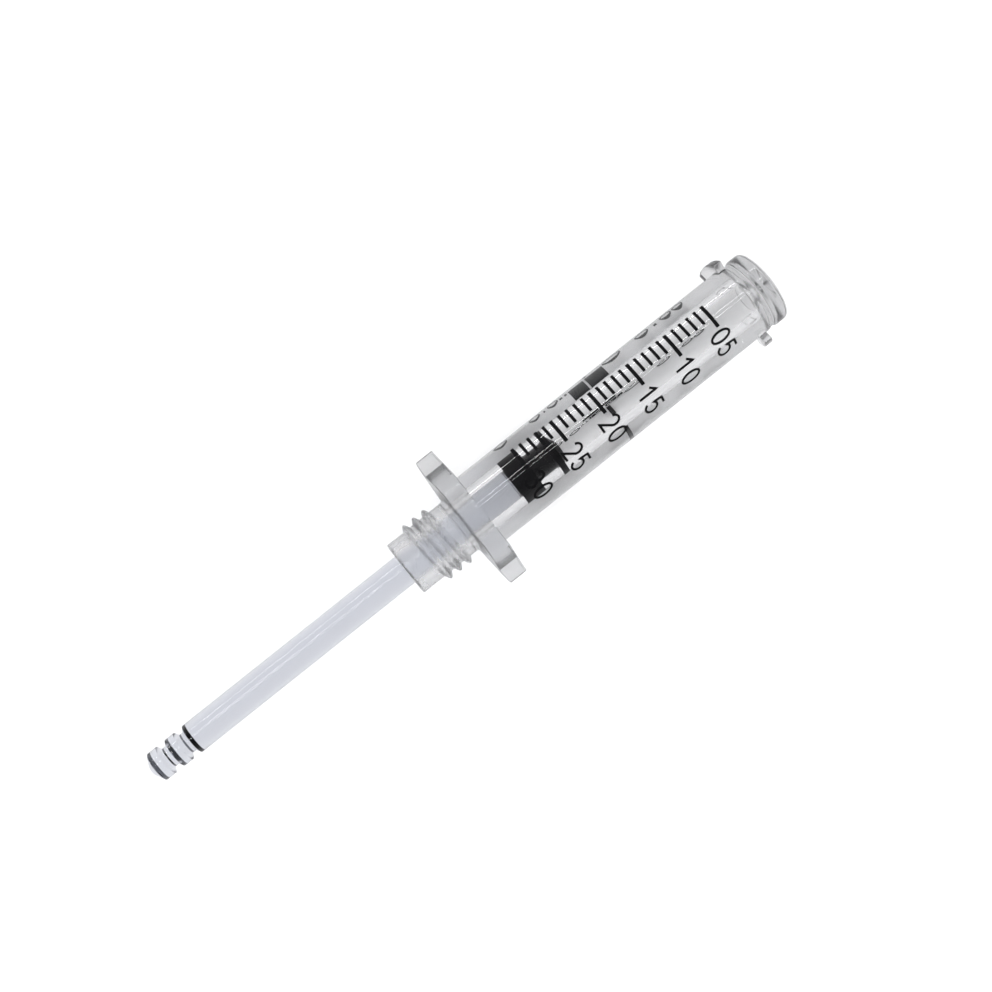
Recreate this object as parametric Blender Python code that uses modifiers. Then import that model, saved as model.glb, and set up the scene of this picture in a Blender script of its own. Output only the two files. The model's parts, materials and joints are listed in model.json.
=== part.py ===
"""Needle-free injector ampoule, 0.3 ml: a clear graduated barrel, a plunger rod and a rubber stopper.

Every piece is modelled about its own axis, x running towards the nozzle with the tip face at x = 0.
An empty then lays the whole ampoule on the table, where it rests on the finger flange and the front rim.
Units are metres.
"""
import math

import bmesh
import bpy
from mathutils import Matrix, Vector

MM = 0.001

# Bore and scale: 10 mm2 of bore area gives 1 mm of travel for each 0.01 ml.
BORE_R = 1.785 * MM
SCALE_ZERO = -2.63 * MM       # where the bore's straight wall ends, the zero of the scale
UNIT_TRAVEL = 1.0 * MM        # travel for 0.01 ml
FILL_AT_REST = 26.3           # hundredths of a millilitre left in the barrel

# Barrel tube, front rim and nozzle
TUBE_R = 4.24 * MM
RIM_R = 4.28 * MM
RIM_LENGTH = 1.5 * MM
RIM_CHAMFER = 0.35 * MM
GROOVE_R = 4.08 * MM          # the shallow waist between the rim and the lugs
GROOVE_START = -1.82 * MM
GROOVE_END = -2.03 * MM
GROOVE_RAMP = 0.5 * MM
ORIFICE_R = 0.1 * MM
CONE_LENGTH = 1.1 * MM         # conical end of the bore in front of the scale's zero
TIP_DISH_R = 1.35 * MM         # shallow dish round the orifice
TIP_DISH_DEPTH = 0.35 * MM

# Bayonet lugs: two segments of a steep right-hand thread
LUG_R = 5.44 * MM
LUG_THICKNESS = 0.95 * MM
LUG_CENTRE = -3.43 * MM
LUG_HALF_ANGLE = math.radians(25.5)
LUG_TURN = math.radians(2.5)  # how far a lug's middle is turned up from the flange's long axis
LUG_LEAD = 5.0 * MM
LUG_ROOT_DEPTH = 0.3 * MM     # how deep a lug is sunk into the tube's wall
LUG_STEPS = 10

# Oval finger flange
FLANGE_CENTRE = -40.33 * MM
FLANGE_HALF_SPAN = 8.02 * MM
FLANGE_HALF_DEPTH = 6.1 * MM
FLANGE_ARC_R = 7.4 * MM
FLANGE_ARC_TURN = math.radians(40.0)  # how far the arc runs each way from the top
FLANGE_WING_Y = 6.18 * MM     # where the slope below the arc gives way to the blunt wing
FLANGE_TIP_HALF_DEPTH = 3.0 * MM
FLANGE_ROOT_THICKNESS = 2.86 * MM
FLANGE_TIP_THICKNESS = 2.12 * MM
FLANGE_ROOT_Y = 3.3 * MM
FLANGE_FRONT_DRAFT = math.radians(1.5)
FLANGE_REAR_DRAFT = math.radians(5.5)
FLANGE_ARC_STEPS = 16

# Threaded neck and collar
NECK_R = 3.2 * MM
NECK_FILLET = 0.45 * MM
NECK_FILLET_END = -41.95 * MM
COLLAR_END = -49.2 * MM
COLLAR_CHAMFER = 0.12 * MM
THREAD_R = 3.83 * MM
THREAD_PITCH = 1.295 * MM
THREAD_FIRST_CREST = -46.56 * MM  # where the crest first crosses the +Y side
THREAD_START = -0.14          # turns, counted from that crossing
THREAD_END = 2.64
THREAD_RUN_OUT = 0.13         # turns over which each end of the thread fades away
THREAD_END_HEIGHT = 0.02      # share of the full height left at its very ends
THREAD_ROOT_DEPTH = 0.15 * MM # how deep the ridge is sunk into the neck
THREAD_ROOT_WIDTH = 0.92 * MM
THREAD_CREST_WIDTH = 0.3 * MM
THREAD_STEPS_PER_TURN = 28
LEAD_IN_R = 2.05 * MM
LEAD_IN_LENGTH = 0.3 * MM

# Plunger rod. A groove is given as its rear edge, the two ends of its floor, and its front edge.
ROD_R = 1.75 * MM
ROD_EDGE = 0.1 * MM
ROD_END = -83.2 * MM
ROD_END_FACE_R = 0.65 * MM
ROD_END_CONE = 0.62 * MM
ROD_HEAD_R = 1.73 * MM
ROD_GROOVE_R = 1.18 * MM
REAR_GROOVE = (1.8 * MM, 2.1 * MM, 2.58 * MM, 3.0 * MM)
FRONT_GROOVE = (4.1 * MM, 4.45 * MM, 4.9 * MM, 5.31 * MM)

# Barbed spigot on the rod's front, measured from the stopper's rear face
SPIGOT_LENGTH = 2.2 * MM
SPIGOT_NECK_R = 0.8 * MM
SPIGOT_BARB_R = 1.05 * MM
SPIGOT_TIP_R = 0.7 * MM
BARB_LENGTH = 1.0 * MM
BARB_TAPER = 0.7 * MM

# Rubber stopper and the blind socket that takes the spigot
STOPPER_LENGTH = 5.8 * MM     # rear face to the front rib's edge
STOPPER_RIB_R = 1.76 * MM
STOPPER_WAIST_R = 1.62 * MM
REAR_RIB_LENGTH = 2.5 * MM
FRONT_RIB_LENGTH = 0.75 * MM
RIB_EDGE = 0.12 * MM
RIB_SLOPE = 0.25 * MM
NOSE_LENGTH = 0.6 * MM
NOSE_R = 0.75 * MM
SOCKET_NECK_LENGTH = 1.1 * MM
SOCKET_DEPTH = 2.3 * MM
SOCKET_TAPER = 0.6 * MM
SOCKET_END_R = 0.75 * MM
PIECE_GAP = 0.05 * MM         # between the rod's shoulder and spigot and the stopper

BARREL_SEGMENTS = 48
PLUNGER_SEGMENTS = 36
CUTTER_OVERRUN = 1.0 * MM     # how far a cutting shape runs past the faces it trims or opens
MERGE_DISTANCE = 0.001 * MM
SHARP_ANGLE = math.radians(30)

STOPPER_FRONT = SCALE_ZERO - FILL_AT_REST * UNIT_TRAVEL
STOPPER_REAR = STOPPER_FRONT - STOPPER_LENGTH
ROD_SHOULDER = STOPPER_REAR - PIECE_GAP

CLEAR_PLASTIC = ("clear_plastic", (0.86, 0.88, 0.89, 1.0), 0.08)
LAVENDER_PLASTIC = ("lavender_plastic", (0.78, 0.78, 0.88, 1.0), 0.1)
BLACK_RUBBER = ("black_rubber", (0.012, 0.012, 0.014, 1.0), 0.55)


def clear_scene():
    for old in list(bpy.data.objects):
        bpy.data.objects.remove(old, do_unlink=True)


def new_collection(name):
    group = bpy.data.collections.new(name)
    bpy.context.scene.collection.children.link(group)
    return group


def plain_material(name, colour, roughness):
    material = bpy.data.materials.new(name)
    material.use_nodes = True
    shader = material.node_tree.nodes["Principled BSDF"]
    shader.inputs["Base Color"].default_value = colour
    shader.inputs["Roughness"].default_value = roughness
    shader.inputs["Metallic"].default_value = 0.0
    return material


def mesh_object(name, mesh, group):
    piece = bpy.data.objects.new(name, mesh)
    group.objects.link(piece)
    return piece


def turned(name, group, profile, segments):
    """A solid of revolution about X, from (x, radius) points down its outer side, nozzle end first."""
    mesh = bpy.data.meshes.new(name)
    points = [(radius, 0.0, x) for x, radius in profile]
    edges = [(i, i + 1) for i in range(len(points) - 1)]
    mesh.from_pydata(points, edges, [])
    piece = mesh_object(name, mesh, group)
    screw = piece.modifiers.new("Turn", "SCREW")
    screw.axis = "Z"
    screw.steps = segments
    screw.render_steps = segments
    screw.use_merge_vertices = True
    screw.merge_threshold = MERGE_DISTANCE
    apply_modifiers(piece)
    piece.data.transform(Matrix.Rotation(math.pi / 2, 4, "Y"))
    return piece


def apply_modifiers(piece):
    graph = bpy.context.evaluated_depsgraph_get()
    mesh = bpy.data.meshes.new_from_object(piece.evaluated_get(graph))
    mesh.name = piece.data.name
    piece.modifiers.clear()
    piece.data = mesh


def outline_prism(name, group, outline, half_depth):
    """A flat outline in XY, thickened both ways along Z, as a closed mesh."""
    curve = bpy.data.curves.new(name, "CURVE")
    curve.dimensions = "2D"
    curve.fill_mode = "BOTH"
    curve.extrude = half_depth
    spline = curve.splines.new("POLY")
    spline.points.add(len(outline) - 1)
    for point, (x, y) in zip(spline.points, outline):
        point.co = (x, y, 0.0, 1.0)
    spline.use_cyclic_u = True
    shape = bpy.data.objects.new(name, curve)
    group.objects.link(shape)
    graph = bpy.context.evaluated_depsgraph_get()
    mesh = bpy.data.meshes.new_from_object(shape.evaluated_get(graph))
    bpy.data.objects.remove(shape, do_unlink=True)
    work = bmesh.new()
    work.from_mesh(mesh)
    bmesh.ops.remove_doubles(work, verts=work.verts, dist=MERGE_DISTANCE)
    bmesh.ops.recalc_face_normals(work, faces=work.faces)
    work.to_mesh(mesh)
    work.free()
    return mesh_object(name, mesh, group)


def lofted(name, group, sections):
    """A closed solid through equal-sized rings of points, with its two ends capped."""
    work = bmesh.new()
    rings = [[work.verts.new(point) for point in section] for section in sections]
    count = len(rings[0])
    for near, far in zip(rings, rings[1:]):
        for i in range(count):
            j = (i + 1) % count
            work.faces.new((near[i], near[j], far[j], far[i]))
    work.faces.new(reversed(rings[0]))
    work.faces.new(rings[-1])
    bmesh.ops.recalc_face_normals(work, faces=work.faces)
    mesh = bpy.data.meshes.new(name)
    work.to_mesh(mesh)
    work.free()
    return mesh_object(name, mesh, group)


def combine(target, tool, operation):
    boolean = target.modifiers.new(tool.name, "BOOLEAN")
    boolean.operation = operation
    boolean.solver = "EXACT"
    boolean.object = tool
    tool.hide_render = True
    tool.display_type = "WIRE"


def about_axis(x, radius, angle):
    """A point at an angle round the axis: 0 is +Y, a quarter turn is +Z."""
    return Vector((x, radius * math.cos(angle), radius * math.sin(angle)))


def barrel_body(group):
    profile = [
        (0.0, 0.0),
        (0.0, RIM_R - RIM_CHAMFER),
        (-RIM_CHAMFER, RIM_R),
        (-RIM_LENGTH, RIM_R),
        (GROOVE_START, GROOVE_R),
        (GROOVE_END, GROOVE_R),
        (GROOVE_END - GROOVE_RAMP, TUBE_R),
        (FLANGE_CENTRE, TUBE_R),
        (FLANGE_CENTRE - FLANGE_TIP_THICKNESS / 2, NECK_R + NECK_FILLET),
        (NECK_FILLET_END, NECK_R),
        (COLLAR_END + COLLAR_CHAMFER, NECK_R),
        (COLLAR_END, NECK_R - COLLAR_CHAMFER),
        (COLLAR_END, 0.0),
    ]
    return turned("ampoule_barrel", group, profile, BARREL_SEGMENTS)


def bore_cutter(group):
    """The bore, its nozzle cone and orifice, with both mouths flared on past the faces they open in."""
    dish_slope = (TIP_DISH_R - ORIFICE_R) / TIP_DISH_DEPTH
    lead_in_slope = (LEAD_IN_R - BORE_R) / LEAD_IN_LENGTH
    profile = [
        (CUTTER_OVERRUN, 0.0),
        (CUTTER_OVERRUN, TIP_DISH_R + CUTTER_OVERRUN * dish_slope),
        (-TIP_DISH_DEPTH, ORIFICE_R),
        (SCALE_ZERO + CONE_LENGTH, ORIFICE_R),
        (SCALE_ZERO, BORE_R),
        (COLLAR_END + LEAD_IN_LENGTH, BORE_R),
        (COLLAR_END - CUTTER_OVERRUN, LEAD_IN_R + CUTTER_OVERRUN * lead_in_slope),
        (COLLAR_END - CUTTER_OVERRUN, 0.0),
    ]
    return turned("bore_cutter", group, profile, BARREL_SEGMENTS)


def flange_outline():
    """Two arcs whose straight slopes run down to the blunt wings, as (y, z) points."""
    arc_centre = FLANGE_ARC_R - FLANGE_HALF_DEPTH
    arc = []
    for step in range(FLANGE_ARC_STEPS):
        angle = FLANGE_ARC_TURN * (1 - 2 * step / (FLANGE_ARC_STEPS - 1))
        arc.append((FLANGE_ARC_R * math.sin(angle), FLANGE_ARC_R * math.cos(angle) - arc_centre))
    end_y, end_z = arc[0]
    wing = (FLANGE_WING_Y, end_z - (FLANGE_WING_Y - end_y) * math.tan(FLANGE_ARC_TURN))
    tip = (FLANGE_HALF_SPAN, FLANGE_TIP_HALF_DEPTH)
    upper = [tip, wing] + arc + [(-wing[0], wing[1]), (-tip[0], tip[1])]
    lower = [(y, -z) for y, z in reversed(upper)]
    return upper + lower


def finger_flange(group):
    """The oval plate, thinned towards its wing tips and drafted up and down from the axis."""
    half_root = FLANGE_ROOT_THICKNESS / 2
    half_tip = FLANGE_TIP_THICKNESS / 2
    plate = outline_prism("finger_flange", group, flange_outline(), half_root)
    plate.data.transform(Matrix(((0, 0, 1, 0), (1, 0, 0, 0), (0, 1, 0, 0), (0, 0, 0, 1))))

    reach = FLANGE_HALF_SPAN + CUTTER_OVERRUN
    slope = (half_root - half_tip) / (FLANGE_HALF_SPAN - FLANGE_ROOT_Y)
    half_reach = half_root - slope * (reach - FLANGE_ROOT_Y)
    quarter = [(half_root, FLANGE_ROOT_Y), (half_reach, reach)]
    taper_outline = quarter + [(-x, y) for x, y in reversed(quarter)]
    taper_outline += [(x, -y) for x, y in reversed(taper_outline)]
    taper = outline_prism("flange_taper", group, taper_outline, FLANGE_HALF_DEPTH + CUTTER_OVERRUN)

    height = FLANGE_HALF_DEPTH + CUTTER_OVERRUN
    front_edge = half_root - height * math.tan(FLANGE_FRONT_DRAFT)
    rear_edge = -half_root + height * math.tan(FLANGE_REAR_DRAFT)
    draft_outline = [(half_root, 0.0), (front_edge, height), (rear_edge, height)]
    draft_outline += [(-half_root, 0.0), (rear_edge, -height), (front_edge, -height)]
    draft = outline_prism("flange_draft", group, draft_outline, reach)
    draft.data.transform(Matrix.Rotation(math.pi / 2, 4, "X"))

    for tool in (taper, draft):
        combine(plate, tool, "INTERSECT")
    apply_modifiers(plate)
    plate.data.transform(Matrix.Translation((FLANGE_CENTRE, 0.0, 0.0)))
    return plate


def bayonet_lug(group, name, start_angle):
    inner_r = TUBE_R - LUG_ROOT_DEPTH
    sections = []
    for step in range(LUG_STEPS + 1):
        swing = LUG_HALF_ANGLE * (2 * step / LUG_STEPS - 1)
        angle = start_angle + swing
        front = LUG_CENTRE + LUG_LEAD * swing / (2 * math.pi) + LUG_THICKNESS / 2
        rear = front - LUG_THICKNESS
        corners = ((front, inner_r), (front, LUG_R), (rear, LUG_R), (rear, inner_r))
        sections.append([about_axis(x, radius, angle) for x, radius in corners])
    return lofted(name, group, sections)


def thread(group):
    """A right-hand helical ridge whose ends fade into the neck."""
    buried_r = NECK_R - THREAD_ROOT_DEPTH
    length = THREAD_END - THREAD_START
    steps = round(length * THREAD_STEPS_PER_TURN)
    sections = []
    for step in range(steps + 1):
        turns = THREAD_START + length * step / steps
        fade = min(1.0, (turns - THREAD_START) / THREAD_RUN_OUT, (THREAD_END - turns) / THREAD_RUN_OUT)
        crest_r = buried_r + (THREAD_R - buried_r) * max(fade, THREAD_END_HEIGHT)
        x = THREAD_FIRST_CREST + THREAD_PITCH * turns
        corners = (
            (x - THREAD_ROOT_WIDTH / 2, buried_r),
            (x - THREAD_CREST_WIDTH / 2, crest_r),
            (x + THREAD_CREST_WIDTH / 2, crest_r),
            (x + THREAD_ROOT_WIDTH / 2, buried_r),
        )
        angle = 2 * math.pi * turns
        sections.append([about_axis(corner_x, radius, angle) for corner_x, radius in corners])
    return lofted("neck_thread", group, sections)


def ampoule_barrel(group, cutters):
    barrel = barrel_body(group)
    additions = [
        finger_flange(cutters),
        bayonet_lug(cutters, "lug_left", LUG_TURN),
        bayonet_lug(cutters, "lug_right", math.pi + LUG_TURN),
        thread(cutters),
    ]
    for addition in additions:
        combine(barrel, addition, "UNION")
    combine(barrel, bore_cutter(cutters), "DIFFERENCE")
    return barrel


def groove_profile(groove, front_r, rear_r):
    """The four points of a groove in the rod, front edge first."""
    rear_edge, floor_rear, floor_front, front_edge = (ROD_END + place for place in groove)
    floor = [(floor_front, ROD_GROOVE_R), (floor_rear, ROD_GROOVE_R)]
    return [(front_edge, front_r)] + floor + [(rear_edge, rear_r)]


def plunger_rod(group):
    barb_front = STOPPER_REAR + SPIGOT_LENGTH
    profile = [
        (barb_front, 0.0),
        (barb_front, SPIGOT_TIP_R),
        (barb_front - BARB_TAPER, SPIGOT_BARB_R),
        (barb_front - BARB_LENGTH, SPIGOT_BARB_R),
        (barb_front - BARB_LENGTH, SPIGOT_NECK_R),
        (ROD_SHOULDER, SPIGOT_NECK_R),
        (ROD_SHOULDER, ROD_R - ROD_EDGE),
        (ROD_SHOULDER - ROD_EDGE, ROD_R),
    ]
    profile += groove_profile(FRONT_GROOVE, ROD_R, ROD_HEAD_R)
    profile += groove_profile(REAR_GROOVE, ROD_HEAD_R, ROD_HEAD_R)
    profile += [(ROD_END + ROD_END_CONE, ROD_HEAD_R), (ROD_END, ROD_END_FACE_R), (ROD_END, 0.0)]
    return turned("plunger_rod", group, profile, PLUNGER_SEGMENTS)


def rubber_stopper(group):
    socket_neck_r = SPIGOT_NECK_R + PIECE_GAP
    socket_barb_r = SPIGOT_BARB_R + PIECE_GAP
    socket_neck_end = STOPPER_REAR + SOCKET_NECK_LENGTH
    socket_end = STOPPER_REAR + SOCKET_DEPTH
    rear_rib_end = STOPPER_REAR + REAR_RIB_LENGTH
    front_rib_start = STOPPER_FRONT - FRONT_RIB_LENGTH
    profile = [
        (STOPPER_FRONT + NOSE_LENGTH, 0.0),
        (STOPPER_FRONT + NOSE_LENGTH, NOSE_R),
        (STOPPER_FRONT, STOPPER_RIB_R - RIB_EDGE),
        (STOPPER_FRONT - RIB_EDGE, STOPPER_RIB_R),
        (front_rib_start, STOPPER_RIB_R),
        (front_rib_start - RIB_SLOPE, STOPPER_WAIST_R),
        (rear_rib_end + RIB_SLOPE, STOPPER_WAIST_R),
        (rear_rib_end, STOPPER_RIB_R),
        (STOPPER_REAR + RIB_EDGE, STOPPER_RIB_R),
        (STOPPER_REAR, STOPPER_RIB_R - RIB_EDGE),
        (STOPPER_REAR, socket_neck_r),
        (socket_neck_end, socket_neck_r),
        (socket_neck_end, socket_barb_r),
        (socket_end - SOCKET_TAPER, socket_barb_r),
        (socket_end, SOCKET_END_R),
        (socket_end, 0.0),
    ]
    return turned("rubber_stopper", group, profile, PLUNGER_SEGMENTS)


def finish(piece, material):
    apply_modifiers(piece)
    piece.data.materials.clear()
    piece.data.materials.append(material)
    piece.data.polygons.foreach_set("material_index", [0] * len(piece.data.polygons))
    piece.data.shade_smooth()
    piece.data.set_sharp_from_angle(angle=SHARP_ANGLE)


def lay_on_table(pieces, group):
    """Tilts the axis nozzle-down until flange and rim both touch z = 0, centred over the origin."""
    flange_edge = FLANGE_HALF_DEPTH * math.tan(FLANGE_FRONT_DRAFT)
    flange_contact_x = FLANGE_CENTRE + FLANGE_ROOT_THICKNESS / 2 - flange_edge
    run = -RIM_CHAMFER - flange_contact_x
    tilt = math.atan2(FLANGE_HALF_DEPTH - RIM_R, run)
    rest = bpy.data.objects.new("resting_axis", None)
    group.objects.link(rest)
    rest.rotation_euler = (0.0, tilt, 0.0)
    for piece in pieces:
        piece.parent = rest
    bpy.context.view_layer.update()
    corners = [rest.matrix_world @ vertex.co for piece in pieces for vertex in piece.data.vertices]
    middle_x = (min(p.x for p in corners) + max(p.x for p in corners)) / 2
    lowest = min(p.z for p in corners)
    rest.location = (-middle_x, 0.0, -lowest)


def main():
    clear_scene()
    group = new_collection("injector_ampoule")
    cutters = new_collection("cutters")
    barrel = ampoule_barrel(group, cutters)
    rod = plunger_rod(group)
    stopper = rubber_stopper(group)
    finish(barrel, plain_material(*CLEAR_PLASTIC))
    finish(rod, plain_material(*LAVENDER_PLASTIC))
    finish(stopper, plain_material(*BLACK_RUBBER))
    lay_on_table((barrel, rod, stopper), group)


main()
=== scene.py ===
"""Looks of the needle-free injector ampoule: clear barrel, lavender rod, rubber stopper and ink scale.

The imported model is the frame. Every piece is modelled about the ampoule's own axis, x running towards the
nozzle with the tip face at x = 0, and then laid on that axis as the record's joint and mounts give it.
The near wing of the finger flange is at -Y and the far one at +Y. Units are metres.
"""
import json
import math

import bmesh
import bpy
from mathutils import Matrix, Vector


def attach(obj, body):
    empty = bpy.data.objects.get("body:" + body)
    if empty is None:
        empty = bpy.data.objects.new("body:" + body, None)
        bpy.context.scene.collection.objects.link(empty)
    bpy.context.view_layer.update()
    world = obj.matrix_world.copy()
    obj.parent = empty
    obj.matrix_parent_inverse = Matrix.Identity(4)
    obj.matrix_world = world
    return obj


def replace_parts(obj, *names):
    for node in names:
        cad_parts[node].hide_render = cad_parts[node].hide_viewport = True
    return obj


MM = 0.001

# Bore and scale
BORE_R = 1.785 * MM
SCALE_ZERO = -2.63 * MM
UNIT_TRAVEL = 1.0 * MM             # travel for 0.01 ml
FILL_AT_REST = 26.3                # hundredths of a millilitre
STOPPER_FRONT = SCALE_ZERO - FILL_AT_REST * UNIT_TRAVEL

# Barrel tube, front rim and nozzle
TUBE_R = 4.24 * MM
RIM_R = 4.28 * MM
RIM_LENGTH = 1.5 * MM
RIM_CHAMFER = 0.45 * MM
GROOVE_R = 4.08 * MM
GROOVE_START = -1.82 * MM
GROOVE_END = -2.03 * MM
GROOVE_RAMP = 0.5 * MM
GROOVE_FRONT_FILLET = 0.3 * MM
GROOVE_REAR_FILLET = 0.5 * MM
RIM_REAR_FILLET = 0.4 * MM
TUBE_FRONT_FILLET = 0.8 * MM
ORIFICE_R = 0.1 * MM
CONE_LENGTH = 1.1 * MM
CONE_FILLET = 0.2 * MM
TIP_DISH_R = 1.35 * MM
TIP_DISH_DEPTH = 0.35 * MM
TIP_DISH_FILLET = 0.3 * MM

# Bayonet lugs
LUG_R = 5.44 * MM
LUG_THICKNESS = 0.95 * MM
LUG_CENTRE = -3.43 * MM
LUG_HALF_ANGLE = math.radians(25.5)
LUG_TURN = math.radians(2.5)
LUG_LEAD = 5.0 * MM
LUG_ROOT_DEPTH = 0.3 * MM
LUG_EDGE = 0.08 * MM
LUG_STEPS = 36

# Oval finger flange
FLANGE_CENTRE = -40.33 * MM
FLANGE_HALF_SPAN = 8.02 * MM
FLANGE_HALF_DEPTH = 6.1 * MM
FLANGE_ARC_R = 7.4 * MM
FLANGE_ARC_TURN = math.radians(40.0)
FLANGE_WING_Y = 6.18 * MM
FLANGE_WING_FILLET = 0.25 * MM
FLANGE_TIP_FILLET = 0.3 * MM
FLANGE_TIP_HALF_DEPTH = 3.0 * MM
FLANGE_ROOT_THICKNESS = 2.86 * MM
FLANGE_TIP_THICKNESS = 2.12 * MM
FLANGE_ROOT_Y = 3.3 * MM
FLANGE_FRONT_DRAFT = math.radians(1.5)
FLANGE_REAR_DRAFT = math.radians(5.5)
FLANGE_ARC_STEPS = 72
FLANGE_HOLE_R = 2.6 * MM           # inside the neck's wall, where the union takes it away
FLANGE_EDGE = 0.18 * MM

# Threaded neck and collar
NECK_R = 3.2 * MM
NECK_FILLET = 0.45 * MM
NECK_FILLET_END = -41.95 * MM
NECK_FILLET_EDGE = 0.3 * MM
COLLAR_END = -49.2 * MM
COLLAR_CHAMFER = 0.12 * MM
THREAD_R = 3.83 * MM
THREAD_PITCH = 1.295 * MM
THREAD_FIRST_CREST = -46.56 * MM
THREAD_START = -0.14               # this and the end are turns from the first crest
THREAD_END = 2.64
THREAD_RUN_OUT = 0.13              # turns
THREAD_END_HEIGHT = 0.02           # share of the full height
THREAD_ROOT_DEPTH = 0.15 * MM
THREAD_WIDTH = 1.2 * MM
THREAD_FULLNESS = 0.8
THREAD_SHAPE_STEPS = 14
THREAD_STEPS_PER_TURN = 96
LEAD_IN_R = 2.05 * MM
LEAD_IN_LENGTH = 0.3 * MM
LEAD_IN_FILLET = 0.1 * MM

# Plunger rod and its spigot
ROD_R = 1.75 * MM
ROD_EDGE = 0.1 * MM
ROD_END = -83.2 * MM
ROD_END_FACE_R = 0.65 * MM
ROD_END_CONE = 0.62 * MM
ROD_END_FACE_EDGE = 0.1 * MM
ROD_END_CONE_EDGE = 0.15 * MM
ROD_HEAD_R = 1.73 * MM
ROD_GROOVE_R = 1.18 * MM
ROD_GROOVE_EDGE = 0.04 * MM
# Rear edge, floor's two ends and front edge of each groove, from the rod's end
REAR_GROOVE = (1.8 * MM, 2.1 * MM, 2.58 * MM, 3.0 * MM)
FRONT_GROOVE = (4.1 * MM, 4.45 * MM, 4.9 * MM, 5.31 * MM)
SPIGOT_LENGTH = 2.2 * MM
SPIGOT_NECK_R = 0.8 * MM
SPIGOT_BARB_R = 1.05 * MM
SPIGOT_TIP_R = 0.7 * MM
BARB_LENGTH = 1.0 * MM
BARB_TAPER = 0.7 * MM
BARB_EDGE = 0.03 * MM
SPIGOT_EDGE = 0.05 * MM
SPIGOT_TIP_EDGE = 0.1 * MM

# Rubber stopper. Its ribs press into the bore's wall, and its waist stands clear of it.
STOPPER_LENGTH = 5.8 * MM
STOPPER_PRESS = 0.006 * MM
STOPPER_WAIST_R = 1.62 * MM
REAR_RIB_LENGTH = 2.5 * MM
FRONT_RIB_LENGTH = 0.75 * MM
RIB_EDGE = 0.12 * MM
RIB_SLOPE = 0.25 * MM
NOSE_LENGTH = 0.6 * MM
NOSE_R = 0.75 * MM
NOSE_EDGE = 0.15 * MM
SOCKET_NECK_LENGTH = 1.1 * MM
SOCKET_DEPTH = 2.3 * MM
SOCKET_TAPER = 0.6 * MM
SOCKET_END_R = 0.75 * MM
SOCKET_EDGE = 0.05 * MM
PIECE_GAP = 0.05 * MM
STOPPER_REAR = STOPPER_FRONT - STOPPER_LENGTH
ROD_SHOULDER = STOPPER_REAR - PIECE_GAP

# Ink scale on the tube
INK_ROOT = -0.003 * MM             # the ink keys into the surface, so no air shows under it
INK_TOP = 0.015 * MM
INK_STEP = math.radians(1.5)
INK_MITRE_FLOOR = 0.5              # keeps a sharp bend's mitre from growing past twice the width
FIRST_TICK = 5
LAST_TICK = 30
NUMERAL_EVERY = 5
TICK_START = math.radians(-32.4)
MAJOR_TICK_ARC = math.radians(39.8)
MINOR_TICK_ARC = math.radians(25.2)
MAJOR_TICK_WIDTH = 0.42 * MM
MINOR_TICK_WIDTH = 0.35 * MM
PRINT_SKEW = math.radians(0.0175)  # turn per squared hundredth of a millilitre beyond the first numeral
DIGIT_HEIGHT = 2.47 * MM
DIGIT_WIDTH = 1.34 * MM
DIGIT_PITCH = 1.62 * MM
DIGIT_STROKE = 0.275 * MM
DIGIT_STEP = 0.1 * MM
DIGIT_START = math.radians(11.5)
DIGIT_SETBACK = 0.45 * MM          # of a numeral at zero, from its tick
DIGIT_DRIFT = -0.0125 * MM         # and what each hundredth of a millilitre adds to it

# Generic marks on the underside. Arcs are polar angles from the top towards the far wing, places are
# (rear, front) along the axis, and a ring is (middle, width).
BACK_STROKE = 0.15 * MM
BACK_BARS = ((-24.2 * MM, -22.0 * MM), (-21.5 * MM, -19.6 * MM))
BACK_BAR_ARC = (math.radians(161.0), math.radians(166.5))
BACK_BLOCKS = ((-23.46 * MM, -21.42 * MM), (-21.17 * MM, -18.78 * MM))
BACK_BLOCK_ARC = (math.radians(167.9), math.radians(173.8))
BACK_STEM = (-21.24 * MM, -20.7 * MM)
BACK_STEM_ARC = (math.radians(176.0), math.radians(208.0))
BACK_DASHES = ((-26.9 * MM, -26.7 * MM), (-24.7 * MM, -24.3 * MM), (-24.0 * MM, -23.7 * MM),
               (-11.5 * MM, -11.1 * MM))
BACK_DASH_ARC = (math.radians(171.6), math.radians(174.0))
BACK_RINGS = ((-32.85 * MM, 1.7 * MM), (-28.08 * MM, 1.35 * MM), (-25.58 * MM, 1.3 * MM),
              (-17.35 * MM, 2.4 * MM), (-13.1 * MM, 1.7 * MM), (-9.75 * MM, 1.4 * MM), (-8.1 * MM, 1.3 * MM))
BACK_RING_ARC = (math.radians(171.4), math.radians(177.5))
BACK_RING_STEPS = 32

# Clear mouldings. Haze is (place along the axis, roughness), rising along X; the rod has none.
PLASTIC_IOR = 1.53
PLASTIC_GRAIN_SCALE = 500.0
PLASTIC_GRAIN_DETAIL = 3.0
PLASTIC_GRAIN_HAZE = 0.045
BARREL_COLOUR = (0.5, 0.51, 0.52)
BARREL_DENSITY = 40.0
BARREL_HAZE = ((-42.2 * MM, 0.25), (-41.6 * MM, 0.19), (-39.3 * MM, 0.19), (-38.8 * MM, 0.0),
               (-3.3 * MM, 0.0), (-2.9 * MM, 0.16), (-0.9 * MM, 0.16), (-0.5 * MM, 0.05))
ROD_COLOUR = (0.1, 0.22, 0.52)
ROD_DENSITY = 55.0
ROD_HAZE = ((ROD_END, 0.0), (STOPPER_REAR, 0.0))

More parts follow.
